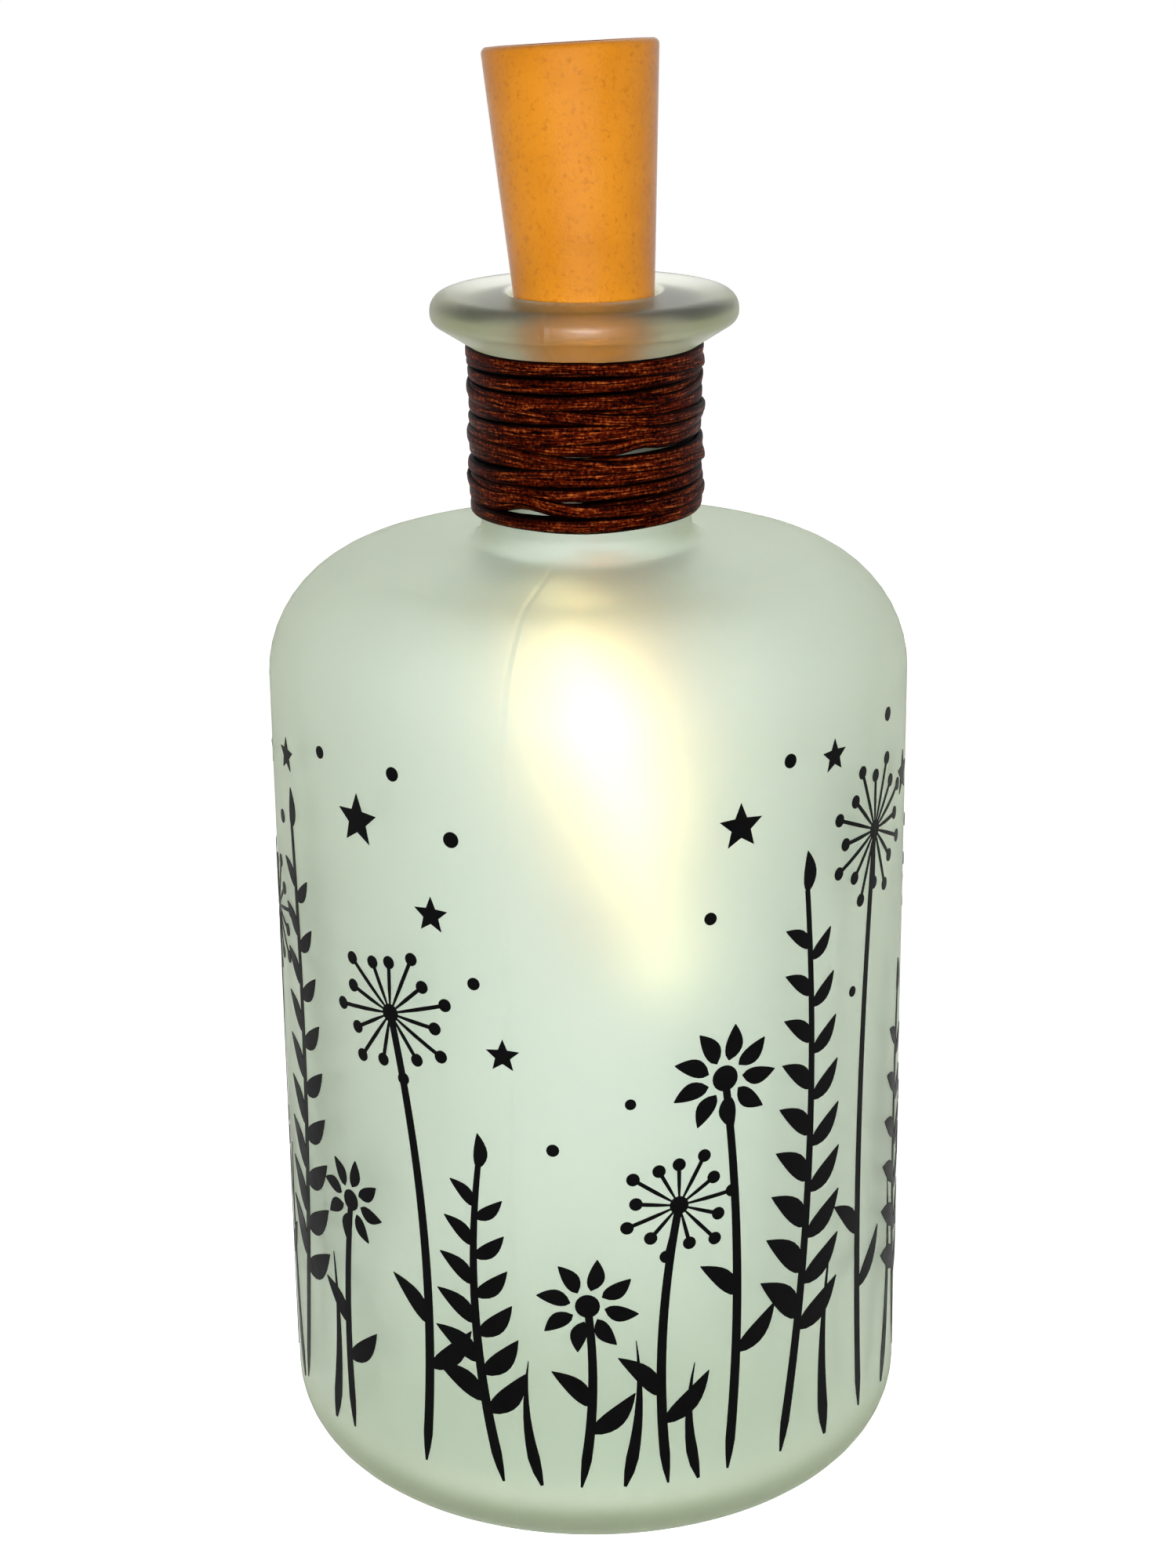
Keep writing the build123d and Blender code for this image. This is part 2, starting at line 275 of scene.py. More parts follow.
# Light string: the wire comes first, because everything that glows hangs on it
string = {
    "wire": 0.7,
    "start": 3.2,  # on the board in the stopper's floor
    "leadHeights": (-3.0, -9.0, -13.5),
    "leadEnd": -15.7,
    "coilRadius": 6.674,
    "entryHeight": 11.0,
    "entryTurns": 1.25,
    "coilHeight": 46.0,
    "coilTurns": 19.5,
    "coilStart": 60.0,  # degrees round the stopper's axis
    "gather": 0.24,  # the upper turns lie closer together
    "sway": 0.35,
    "swayWaves": 3,
    "perTurn": 16,
    "length": 0.847,  # metres
    "lacquer": ((0.52, 0.20, 0.08), (0.80, 0.42, 0.22)),
    "lacquerScale": 900.0,
    "lacquerRough": (0.22, 0.42),
    "wireScale": 4000.0,
    "wireBump": (0.3, 0.00004),  # strength, depth
    "wireMetal": 0.9,
    "wireCoat": 0.3,
    "lights": 10,
    "beadLength": 3.9,
    "beadRadius": 1.2,
    "beadNeck": 0.42,  # radius of a bead's ends
    "beadBarrel": 0.3,  # half the length of its middle
    "beadRounding": 0.9,
    "beadSteps": 16,
    "resin": ((0.95, 0.88, 0.70), (1.0, 0.97, 0.88)),
    "resinScale": 700.0,
    "resinRough": (0.08, 0.2),
    "glow": (1.0, 0.82, 0.39),
    "glowStrength": (7.5, 70.0),  # at the lowest and the highest lights
    "glowHeights": (89.0, 92.0),
}


def stringPoint(turns):
    angle = 2 * math.pi * turns + math.radians(string["coilStart"])
    step = 2 * math.pi / string["perTurn"]
    widen = 1 / (0.75 + 0.25 * math.cos(step))  # the spline cuts inside its points
    if turns < string["entryTurns"]:
        share = turns / string["entryTurns"]
        radius = string["coilRadius"] * share**2 * (3 - 2 * share)
        height = string["leadEnd"] - string["entryHeight"] * share
    else:
        share = (turns - string["entryTurns"]) / string["coilTurns"]
        wave = math.cos(2 * math.pi * string["swayWaves"] * share)
        radius = string["coilRadius"] - string["sway"] * (1 - wave) / 2
        drop = string["coilHeight"] * share * (1 - string["gather"] * (1 - share**2))
        height = string["leadEnd"] - string["entryHeight"] - drop
    return Vector((radius * widen * math.cos(angle), radius * widen * math.sin(angle), height))


def wireMaterial():
    material, tree, shader = newMaterial("copperWire")
    coords = objectCoords(tree)
    lacquer = noiseNode(tree, coords, string["lacquerScale"])
    tree.links.new(twoTone(tree, lacquer, *string["lacquer"]), shader.inputs["Base Color"])
    tree.links.new(rangeNode(tree, lacquer, *string["lacquerRough"]), shader.inputs["Roughness"])
    fine = noiseNode(tree, coords, string["wireScale"])
    tree.links.new(bumpNode(tree, fine, *string["wireBump"]), shader.inputs["Normal"])
    shader.inputs["Metallic"].default_value = string["wireMetal"]
    shader.inputs["Coat Weight"].default_value = string["wireCoat"]
    return material


def addString():
    data = bpy.data.curves.new("stringWire", "CURVE")
    data.dimensions = "3D"
    data.resolution_u = 4
    data.bevel_depth = string["wire"] / 2 * mm
    data.bevel_resolution = 3
    data.use_fill_caps = True
    points = [Vector((0, 0, height)) for height in (string["start"], *string["leadHeights"])]
    steps = round((string["entryTurns"] + string["coilTurns"]) * string["perTurn"])
    points += [stringPoint(step / string["perTurn"]) for step in range(1, steps + 1)]
    spline = data.splines.new("NURBS")
    spline.points.add(len(points) - 1)
    for control, point in zip(spline.points, points):
        control.co = (*(corkSpace @ (point * mm)), 1)
    spline.order_u = 3
    spline.use_endpoint_u = True
    data.materials.append(wireMaterial())
    wire = bpy.data.objects.new("stringWire", data)
    scene.collection.objects.link(wire)
    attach(wire, "cork")
    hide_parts("string_lead", "string_coil")
    print("string wire of", len(points), "points")
    return wire


def glowMaterial():
    material, tree, shader = newMaterial("glowingResin")
    coords = objectCoords(tree)
    cloud = noiseNode(tree, coords, string["resinScale"])
    tree.links.new(twoTone(tree, cloud, *string["resin"]), shader.inputs["Base Color"])
    tree.links.new(rangeNode(tree, cloud, *string["resinRough"]), shader.inputs["Roughness"])
    shader.inputs["Emission Color"].default_value = (*string["glow"], 1)
    low, high = (height * mm for height in string["glowHeights"])
    strength = rangeNode(tree, heightNode(tree, coords), *string["glowStrength"], low, high)
    tree.links.new(strength, shader.inputs["Emission Strength"])
    return material


def wireLine(wire):
    bare = wire.data.copy()
    bare.bevel_depth = 0
    helper = bpy.data.objects.new("wireLine", bare)
    scene.collection.objects.link(helper)
    bpy.context.view_layer.update()
    mesh = bpy.data.meshes.new_from_object(helper.evaluated_get(bpy.context.evaluated_depsgraph_get()))
    line = [vert.co.copy() for vert in mesh.vertices]
    bpy.data.objects.remove(helper)
    bpy.data.meshes.remove(mesh)
    bpy.data.curves.remove(bare)
    return line


def beadShape():
    half = string["beadLength"] / 2
    radius = string["beadRadius"]
    neck = string["beadNeck"]
    barrel = string["beadBarrel"]
    rounding = string["beadRounding"]
    corners = [
        (0.0, -half, 0),
        (neck, -half, 0),
        (radius, -barrel, rounding),
        (radius, barrel, rounding),
        (neck, half, 0),
        (0.0, half, 0),
    ]
    bead = bmesh.new()
    roundedProfile(bead, corners, segments=5)
    spinProfile(bead, string["beadSteps"])
    return bead


def addBeads(wire):
    coilTop = (corkSpace @ Vector((0, 0, string["leadEnd"] * mm))).z
    coil = [point for point in wireLine(wire) if point.z < coilTop]
    reach = [0.0]
    for before, after in zip(coil, coil[1:]):
        reach.append(reach[-1] + (after - before).length)
    bm = bmesh.new()
    half = string["beadLength"] / 2
    for number in range(1, string["lights"] + 1):
        target = reach[-1] * number / string["lights"] - half * mm
        index = min(range(len(reach)), key=lambda i: abs(reach[i] - target))
        index = min(max(index, 1), len(coil) - 2)
        along = (coil[index + 1] - coil[index - 1]).normalized()
        turn = along.to_track_quat("Z", "Y").to_matrix().to_4x4()
        bead = beadShape()
        bmesh.ops.transform(bead, matrix=turn, verts=bead.verts)
        bmesh.ops.translate(bead, vec=coil[index], verts=bead.verts)
        joinMesh(bm, bead, "bead")
    beads = finishPiece(bm, "ledBeads", "cork", glowMaterial(), ["led_beads"])
    print("beads on the string:", string["lights"])
    return beads


wire = addString()
beads = addBeads(wire)


# Frosted bottle: one closed profile, outside and inside, spun round the upright axis
bottle = {
    "pushUp": 3.0,
    "footRadius": 26.7,
    "floorEdge": 5.0,
    "floorTop": 8.0,
    "walls": [  # radius, height, rounding
        (26.7, 0.0, 0.3),
        (41.0, 0.0, 10.3),
        (41.0, 121.597, 15.2),
        (13.324, 124.995, 2.5),
        (13.324, 148.857, 0.8),
        (19.274, 152.604, 1.4),
        (19.274, 156.028, 2.2),
        (9.224, 156.028, 1.2),
        (9.224, 142.028, 3.0),
        (10.974, 122.261, 3.0),
        (38.0, 118.943, 12.2),
        (38.0, 5.0, 7.3),
        (26.7, 5.0, 0.0),
    ],
    "domeSteps": 7,
    "arcSteps": 12,
    "spinSteps": 144,
    "tints": [  # share of the way up the tint and shade heights, colour: the glass's green tint, painted darker low on the body and lighter towards the shoulder (painted shade and light), and whiter at the lip
        (0.0, (0.898, 0.964, 0.936)),
        (0.4, (0.94, 1.0, 0.985)),
        (0.93, (0.94, 1.0, 0.985)),
        (1.0, (0.96, 0.96, 0.94)),
    ],
    "tintAndShadeHeights": (95.0, 151.0),
    "lipHeights": (147.0, 151.0),  # the lip is less frosted
    "cloudScale": 30.0,
    "rough": (0.50, 0.57),
    "lipRough": -0.15,  # added at the lip
    "through": (0.96, 1.0),  # transmission of the body and of the lip
    "refraction": 1.48,
    "frostScale": 2500.0,
    "frostBump": (0.15, 0.00005),  # strength, depth
    "depth": (0.40, 0.45, 0.03),  # what the glass lets through, so thick places are darker
    "density": 40.0,
    "seamTurn": -14.5,  # degrees from the front: the line where the halves of the mould met
    "seamWidth": 0.6,
    "seamBump": (0.5, 0.00012),
}


def glassMaterial():
    material, tree, shader = newMaterial("frostedGlass")
    coords = objectCoords(tree)
    height = heightNode(tree, coords)
    # painted shade and light: the glass's tint is painted darker low on the body and lighter towards the
    # shoulder
    low, high = (level * mm for level in bottle["tintAndShadeHeights"])
    rise = rangeNode(tree, height, 0.0, 1.0, low, high)
    tree.links.new(rampNode(tree, rise, bottle["tints"]), shader.inputs["Base Color"])
    low, high = (level * mm for level in bottle["lipHeights"])
    lip = rangeNode(tree, height, 0.0, 1.0, low, high)
    cloud = noiseNode(tree, coords, bottle["cloudScale"], 3.0)
    rough = rangeNode(tree, cloud, *bottle["rough"])
    smoothed = mathNode(tree, "MULTIPLY_ADD", lip, bottle["lipRough"], rough)
    tree.links.new(smoothed, shader.inputs["Roughness"])
    tree.links.new(rangeNode(tree, lip, *bottle["through"], 0.0, 1.0), shader.inputs["Transmission Weight"])
    shader.inputs["IOR"].default_value = bottle["refraction"]
    turn = math.radians(bottle["seamTurn"])
    aside = vectorNode(tree, "DOT_PRODUCT", "Value", coords, (math.cos(turn), math.sin(turn), 0))
    apart = mathNode(tree, "ABSOLUTE", aside)
    ridge = rangeNode(tree, apart, 1.0, 0.0, 0.0, bottle["seamWidth"] * mm)
    seam = bumpNode(tree, ridge, *bottle["seamBump"])
    frost = noiseNode(tree, coords, bottle["frostScale"], 2.0)
    tree.links.new(bumpNode(tree, frost, *bottle["frostBump"], seam), shader.inputs["Normal"])
    body = addNode(tree, "ShaderNodeVolumeAbsorption", Density=bottle["density"])
    body.inputs["Color"].default_value = (*bottle["depth"], 1)
    tree.links.new(body.outputs["Volume"], tree.nodes["Material Output"].inputs["Volume"])
    return material


def domeProfile(edge, top):
    foot = bottle["footRadius"]
    shares = [step / bottle["domeSteps"] for step in range(bottle["domeSteps"])]
    return [(foot * share, edge + (top - edge) * (1 - share**2), 0) for share in shares]


def addBottle():
    bm = bmesh.new()
    under = domeProfile(0.0, bottle["pushUp"])
    over = domeProfile(bottle["floorEdge"], bottle["floorTop"])
    roundedProfile(bm, under + bottle["walls"] + over[::-1], segments=bottle["arcSteps"])
    spinProfile(bm, bottle["spinSteps"])
    glass = glassMaterial()
    piece = finishPiece(bm, "frostedBottle", "bottle", glass, ["bottle"], sharp=50)
    print("bottle spun:", len(piece.data.polygons), "faces")


addBottle()


# Wound neck: flat waxed strands in layers, close on the glass and crossing further out
twine = {
    "neckRadius": 13.33,
    "low": 129.3,
    "high": 147.9,
    "outerRoom": 0.7,  # the flange leaves the outer layers more room
    "stations": 72,  # each turn
    "layers": [  # turns, way up or down, strand width, thickness, centre above the glass, wander, start
        (11, 1, 2.1, 0.5, 0.28, 0.10, 0.0),
        (11, 1, 1.9, 0.96, 0.90, 0.40, 0.0),
        (5, 1, 1.5, 0.66, 1.16, 0.80, 1.9),
        (4, -1, 1.6, 0.70, 1.30, 0.60, 1.9),
    ],
    "sectionSides": 14,
    "squareness": 0.74,  # 1 is a round section, less is flatter
    "drifts": {  # waves each turn, lane of the noise
        "sway": (2.9, 0.0),
        "jitter": (7.3, 5.0),
        "swell": (3.3, 9.0),
        "bob": (2.7, 2.0),
        "roll": (3.9, 7.0),
    },
    "jitter": 0.7,  # beside the sway
    "widening": 0.34,  # where a strand swells
    "thinning": 0.2,
    "bob": 0.22,
    "roll": 0.8,  # radians
    "partings": [  # where the glass shows: angle from the front, height, half length, opening
        (28.0, 137.5, 9.0, 0.74),
        (-32.0, 129.95, 13.0, 1.10),
    ],
    "partingReach": 2.4,
    "fibreOffset": 50,  # keeps the fibres of the layers apart
    "fibreStretch": (0.10, 1.5, 1.5),  # long fibres
    "fibreScale": 2.6,
    "speckScale": 2600.0,
    "speckShare": 0.36,
    "blotchScale": 160.0,
    "tints": [  # place on the ramp, colour
        (0.43, (0.0010, 0.0001, 0.0001)),
        (0.54, (0.070, 0.0056, 0.0006)),
        (0.71, (0.52, 0.135, 0.026)),
    ],
    "creaseShade": (0.0003, 0.00003, 0.00003, 1),  # painted shade: the edges of a strand are painted dark, for the shade in the creases between strands
    "creaseShadeMask": (0.95, 0.52, 0.88),  # most, from and to, across half a strand: where the painted crease shade lies
    "deepShade": (0.0010, 0.0001, 0.0001, 1),  # painted shade: the strands that lie deep, close on the glass under the others, are painted dark
    "deepShadeRadii": (14.0, 14.7),
    "rough": (0.36, 0.50),
    "fibreBump": (0.6, 0.00025),  # strength, depth
    "speckBump": (0.35, 0.00008),
    "shine": 0.008,
    "metal": 0.2,  # the wax gives the strands a gloss of their own colour
}
strandData = ("along", "sideA", "sideB")  # place along a strand and in its section


def twineMaterial():
    material, tree, shader = newMaterial("waxedTwine")
    nodes = [addNode(tree, "ShaderNodeAttribute", attribute_name=name) for name in strandData]
    along, sideA, sideB = (node.outputs["Fac"] for node in nodes)
    spread = tree.nodes.new("ShaderNodeCombineXYZ")
    fillSockets(tree, spread.inputs, (along, sideA, sideB))
    stretched = mappingNode(tree, spread.outputs["Vector"], twine["fibreStretch"])
    fibres = noiseNode(tree, stretched, twine["fibreScale"], 5.0, 0.65)
    coords = objectCoords(tree)
    specks = noiseNode(tree, coords, twine["speckScale"], 3.0)
    blotch = noiseNode(tree, coords, twine["blotchScale"], 2.0)
    mixed = mixNode(tree, "FLOAT", twine["speckShare"], fibres, specks)
    colour = rampNode(tree, mixed, twine["tints"])
    # painted shade: darkens the edges of each strand, where shade falls in the creases between strands
    most, inner, outer = twine["creaseShadeMask"]
    edge = rangeNode(tree, mathNode(tree, "ABSOLUTE", sideB), 0.0, most, inner, outer)
    colour = mixNode(tree, "RGBA", edge, colour, twine["creaseShade"])
    # painted shade: strands that lie near the glass, under the outer layers, are painted dark
    level = vectorNode(tree, "MULTIPLY", "Vector", coords, (1, 1, 0))
    radius = vectorNode(tree, "LENGTH", "Value", level)
    low, high = (size * mm for size in twine["deepShadeRadii"])
    colour = mixNode(tree, "RGBA", rangeNode(tree, radius, 0.0, 1.0, low, high), twine["deepShade"], colour)
    tree.links.new(colour, shader.inputs["Base Color"])
    tree.links.new(rangeNode(tree, blotch, *twine["rough"]), shader.inputs["Roughness"])
    ridges = bumpNode(tree, fibres, *twine["fibreBump"])
    tree.links.new(bumpNode(tree, specks, *twine["speckBump"], ridges), shader.inputs["Normal"])
    shader.inputs["Specular IOR Level"].default_value = twine["shine"]
    shader.inputs["Metallic"].default_value = twine["metal"]
    return material


def drift(name, turns, seed):
    pace, lane = twine["drifts"][name]
    return noise.noise((turns * pace, seed, lane))


def partStrands(angle, height):
    front = math.degrees((angle + math.pi) % (2 * math.pi) - math.pi)
    for place, level, length, opening in twine["partings"]:
        near = math.exp(-(((front - place) / length) ** 2))
        gap = height - level
        above = min(max(gap + 0.5, 0.0), 1.0)  # only the strands above it are pushed up
        fade = math.exp(-((gap / twine["partingReach"]) ** 2))
        height += opening * near * above**2 * (3 - 2 * above) * fade
    return height


def strandStation(layer, seed, turns):
    count, way, width, thick, lift, wander, start = layer
    angle = 2 * math.pi * turns + math.pi  # a strand starts and ends at the back
    share = min(max((turns - 0.5) / (count - 1), 0.0), 1.0)  # it lies level there, at both ends
    share = share if way > 0 else 1 - share
    edge = min(1.0, 4 * min(share, 1 - share) + 0.15)  # the first and last turns lie straight
    sway = drift("sway", turns, seed) + twine["jitter"] * drift("jitter", turns, seed)
    high = twine["high"] + twine["outerRoom"] * lift
    low = twine["low"] + start
    height = partStrands(angle, low + (high - low) * share + wander * edge * sway)
    radius = twine["neckRadius"] + lift + twine["bob"] * drift("bob", turns, seed)
    outward = Vector((math.sin(angle), -math.cos(angle), 0))
    place = outward * radius + Vector((0, 0, height))
    roll = Matrix.Rotation(twine["roll"] * drift("roll", turns, seed), 4, "Y")
    ahead = Vector((math.cos(angle), math.sin(angle), 0))
    turn = Matrix((outward, ahead, Vector((0, 0, 1)))).transposed().to_4x4()
    swell = drift("swell", turns, seed)
    halfThick = thick / 2 * (1 - twine["thinning"] * swell)
    halfWidth = width / 2 * (1 + twine["widening"] * swell)
    size = Matrix.Diagonal((halfThick, 1, halfWidth, 1))
    return Matrix.Translation(place * mm) @ turn @ roll @ size @ Matrix.Scale(mm, 4), radius * angle


def sweepStrand(bm, layer, seed):
    along, sideA, sideB = (bm.verts.layers.float[name] for name in strandData)
    sides = twine["sectionSides"]
    offset = seed * twine["fibreOffset"]
    flat = Matrix.Rotation(math.pi / 2, 4, "X")
    made = bmesh.ops.create_circle(bm, cap_ends=True, segments=sides, radius=1.0, matrix=flat)
    ring = made["verts"]
    for vert in ring:
        vert.co.x = math.copysign(abs(vert.co.x) ** twine["squareness"], vert.co.x)
        vert.co.z = math.copysign(abs(vert.co.z) ** twine["squareness"], vert.co.z)
        vert[sideA] = vert.co.x
        vert[sideB] = vert.co.z
        vert[along] = offset
    edges = list({edge for vert in ring for edge in vert.link_edges})
    matrix = strandStation(layer, seed, 0.0)[0]
    bmesh.ops.transform(bm, matrix=matrix, verts=ring)
    for station in range(1, layer[0] * twine["stations"] + 1):
        ahead, reach = strandStation(layer, seed, station / twine["stations"])
        grown = bmesh.ops.extrude_edge_only(bm, edges=edges)["geom"]
        ring = [item for item in grown if isinstance(item, bmesh.types.BMVert)]
        edges = [item for item in grown if isinstance(item, bmesh.types.BMEdge)]
        edges = [edge for edge in edges if all(vert in ring for vert in edge.verts)]
        bmesh.ops.transform(bm, matrix=ahead @ matrix.inverted(), verts=ring)
        for vert in ring:
            vert[along] = offset + reach
        matrix = ahead
    bmesh.ops.contextual_create(bm, geom=edges)


def newStrands():
    bm = bmesh.new()
    for name in strandData:
        bm.verts.layers.float.new(name)
    return bm


def addTwine():
    bm = newStrands()
    for seed, layer in enumerate(twine["layers"], 1):
        strand = newStrands()
        sweepStrand(strand, layer, seed)
        joinMesh(bm, strand, "strand")
    waxed = twineMaterial()
    piece = finishPiece(bm, "woundTwine", "bottle", waxed, ["neck_twine"], sharp=60)
    print("twine wound:", len(piece.data.polygons), "faces")


addTwine()


# Stopper: a tapered moulding, hollow for the battery core
cork = {
    "profile": [  # radius, height, rounding
        (2.05, 0.0, 0.2),
        (7.821, 0.0, 0.8),
        (10.971, 43.95, 0.8),
        (9.506, 43.95, 0.2),
        (9.506, 40.95, 0.0),
        (8.906, 40.95, 0.2),
        (7.0, 3.2, 0.0),
        (2.95, 3.2, 0.0),
        (2.95, 2.2, 0.0),
        (2.05, 2.2, 0.0),
    ],
    "arcSteps": 6,
    "spinSteps": 112,
    "tints": [  # place on the ramp, colour
        (0.3, (0.53, 0.177, 0.003)),
        (0.62, (0.64, 0.230, 0.009)),
    ],
    "cloudScale": 90.0,
    "fleck": (0.36, 0.100, 0.003, 1),
    "fleckScale": 1400.0,
    "fleckMask": (0.5, 0.55, 0.75),  # most, from and to
    "streaks": (700.0, 700.0, 70.0),  # drawn along the stopper by its mould
    "rough": (0.15, 0.27),
    "grainScale": 2400.0,
    "grainBump": (0.6, 0.00024),  # strength, depth
    "streakBump": (0.12, 0.0001),
    "shine": 0.13,
}


def corkMaterial():
    material, tree, shader = newMaterial("corkPlastic")
    coords = objectCoords(tree)
    base = rampNode(tree, noiseNode(tree, coords, cork["cloudScale"], 4.0), cork["tints"])
    flecks = noiseNode(tree, coords, cork["fleckScale"], 2.0)
    most, low, high = cork["fleckMask"]
    mask = rangeNode(tree, flecks, 0.0, most, low, high)
    tree.links.new(mixNode(tree, "RGBA", mask, base, cork["fleck"]), shader.inputs["Base Color"])
    scuff = noiseNode(tree, mappingNode(tree, coords, cork["streaks"]), 1.0, 3.0)
    tree.links.new(rangeNode(tree, scuff, *cork["rough"]), shader.inputs["Roughness"])
    grain = bumpNode(tree, noiseNode(tree, coords, cork["grainScale"], 3.0, 0.75), *cork["grainBump"])
    tree.links.new(bumpNode(tree, scuff, *cork["streakBump"], grain), shader.inputs["Normal"])
    shader.inputs["Specular IOR Level"].default_value = cork["shine"]
    return material


def addCork():
    bm = bmesh.new()
    roundedProfile(bm, cork["profile"], closed=True, segments=cork["arcSteps"])
    spinProfile(bm, cork["spinSteps"])
    bmesh.ops.transform(bm, matrix=corkSpace, verts=bm.verts)
    piece = finishPiece(bm, "corkStopper", "cork", corkMaterial(), ["cork_shell"])
    print("stopper spun:", len(piece.data.polygons), "faces")


addCork()


# Black film on the glass: a plain meadow of stems, leaves, seed heads and stars
film = {
    "radius": 41.0,
    "lift": 0.03,
    "thickness": 0.08,
    "stroke": 1.1,
    "ground": 11.5,
    "leafBend": 0.08,  # times a leaf's length
    "leafEnd": 0.04,  # half the width of its ends
    "fernStem": (1.3, 0.7),  # times the stroke, at the foot and at the tip
    "fernPairs": (0.22, 0.74),  # the leaves start and run on, as shares of the stem
    "fernLean": 0.85,  # radians between a leaf and the stem
    "fernStep": 1.6,  # the leaves of a pair start one above the other
    "fernShrink": 0.5,  # towards the tip
    "fernWidth": 0.36,  # times a leaf's length
    "fernTip": (0.6, 0.22),  # length and width of the last leaf, times the leaf length
    "fernOverlap": 0.4,  # it starts below the tip
    "flowerStem": (1.25, 0.9),
    "seedEye": 1.1,  # times the stroke
    "seedRay": 0.5,
    "seedShort": 0.78,  # every other ray
    "seedDot": 0.85,
    "seedLeaves": [  # share of the stem, lean, length, width
        (0.22, 0.75, 9.0, 2.6),
        (0.32, -0.75, 8.0, 2.4),
    ],
    "blossomEye": 0.26,  # this and the next are times the petal length
    "petal": (0.36, 0.72, 0.34),  # start, length, width
    "petalTurn": 0.2,
    "blossomLeaves": [  # as above
        (0.30, 0.8, 8.0, 2.6),
        (0.45, -0.8, 7.0, 2.4),
    ],
    "bladeTip": 0.1,
    "starWaist": 0.45,
    "ferns": [  # foot across, foot height, tip across, tip height, bow, leaf pairs, leaf length
        (-76.0, 13.0, -74.0, 70.0, -2.0, 7, 8.0),
        (-50.5, 12.5, -47.0, 92.0, -2.5, 9, 9.0),
        (-12.0, 11.5, -14.5, 55.0, 2.0, 6, 8.0),
        (25.0, 12.0, 28.5, 88.0, -2.5, 9, 9.0),
        (57.0, 13.0, 54.0, 66.0, 2.0, 6, 8.5),
    ],
    "seedHeads": [  # foot across, foot height, tip across, tip height, bow, head radius, rays
        (-59.0, 13.0, -57.0, 78.0, 2.0, 8.0, 14),
        (-23.0, 12.0, -26.5, 73.0, -2.5, 8.5, 15),
        (9.0, 11.5, 10.5, 50.0, 1.5, 7.0, 13),
        (41.0, 12.0, 42.5, 92.0, 2.0, 9.0, 16),
        (71.0, 13.0, 69.0, 80.0, -2.0, 7.5, 14),
    ],
    "blossoms": [  # foot across, foot height, tip across, tip height, bow, petal length, petals
        (-36.0, 12.0, -35.0, 45.0, 1.0, 5.5, 8),
        (-2.0, 11.5, -1.0, 37.0, -1.0, 6.0, 8),
        (17.0, 12.0, 16.5, 66.0, -1.5, 6.5, 9),
        (-67.5, 12.0, -66.0, 44.0, 1.5, 6.0, 8),
        (64.0, 12.0, 62.0, 46.0, -1.5, 6.0, 8),
    ],
    "blades": [  # foot across, tip across, tip height, bow, width
        (-52.5, -55.0, 45.0, 2.0, 2.4),
        (-40.5, -39.5, 36.0, -1.0, 2.2),
        (-7.0, -8.5, 29.0, 1.0, 2.0),
        (3.5, 5.0, 32.0, -1.0, 2.0),
        (13.0, 12.5, 28.0, 1.0, 2.0),
        (33.0, 33.5, 38.0, 1.0, 2.2),
        (49.0, 50.0, 42.0, -1.5, 2.4),
    ],
    "stars": [  # across, height, radius
        (-31.0, 97.0, 3.4),
        (-20.0, 87.0, 2.4),
        (-48.0, 101.0, 2.3),
        (-11.0, 70.0, 2.2),
        (18.5, 98.0, 3.0),
        (33.0, 104.0, 2.2),
        (54.0, 96.0, 3.0),
        (-64.0, 98.0, 2.8),
        (66.0, 101.0, 2.4),
    ],
    "dots": [  # across, height, radius
        (-25.0, 104.0, 0.9),
        (-38.0, 104.0, 0.8),
        (-51.0, 92.0, 0.9),
        (-14.5, 79.0, 0.8),
        (-17.0, 97.0, 1.0),
        (14.5, 87.0, 0.8),
        (25.5, 105.0, 0.9),
        (46.0, 106.0, 0.9),
        (37.5, 72.0, 0.7),
        (59.0, 88.0, 0.9),
        (-5.0, 58.0, 0.8),
        (4.5, 64.0, 0.7),
    ],
}


def strokePoint(foot, tip, bow, share):
    line = tip - foot
    aside = Vector((-line.z, 0, line.x)).normalized()
    return foot + line * share + aside * (bow * 4 * share * (1 - share))


def strokeWay(foot, tip, bow, share):
    step = 0.01
    before = strokePoint(foot, tip, bow, max(share - step, 0))
    after = strokePoint(foot, tip, bow, min(share + step, 1))
    return (after - before).normalized()


def drawStroke(bm, foot, tip, bow, width, endWidth):
    length = (tip - foot).length
    steps = max(4, round(length / 2))
    made = bmesh.ops.create_grid(bm, x_segments=1, y_segments=steps, size=1.0)
    for vert in made["verts"]:
        share = (vert.co.y + 1) / 2
        way = strokeWay(foot, tip, bow, share)
        taper = min(1.0, 0.2 + share * length / 4)  # a stroke starts thin
        half = (width + (endWidth - width) * share) / 2 * taper
        aside = Vector((way.z, 0, -way.x)) * (vert.co.x * half)
        vert.co = strokePoint(foot, tip, bow, share) + aside


def drawLeaf(bm, foot, angle, length, width):
    made = bmesh.ops.create_grid(bm, x_segments=2, y_segments=8, size=1.0)
    way = Vector((math.sin(angle), 0, math.cos(angle)))
    aside = Vector((way.z, 0, -way.x))
    for vert in made["verts"]:
        share = (vert.co.y + 1) / 2
        full = math.sin(math.pi * share**0.8) ** 0.9  # widest a little below its middle
        half = width / 2 * full + film["leafEnd"]
        bend = film["leafBend"] * length * math.sin(math.pi * share)
        vert.co = foot + way * (length * share) + aside * (vert.co.x * half + bend)


def drawDot(bm, place, radius, segments=20):
    flat = Matrix.Translation(place) @ Matrix.Rotation(math.pi / 2, 4, "X")
    bmesh.ops.create_circle(
        bm, cap_ends=True, cap_tris=True, segments=segments, radius=radius, matrix=flat
    )


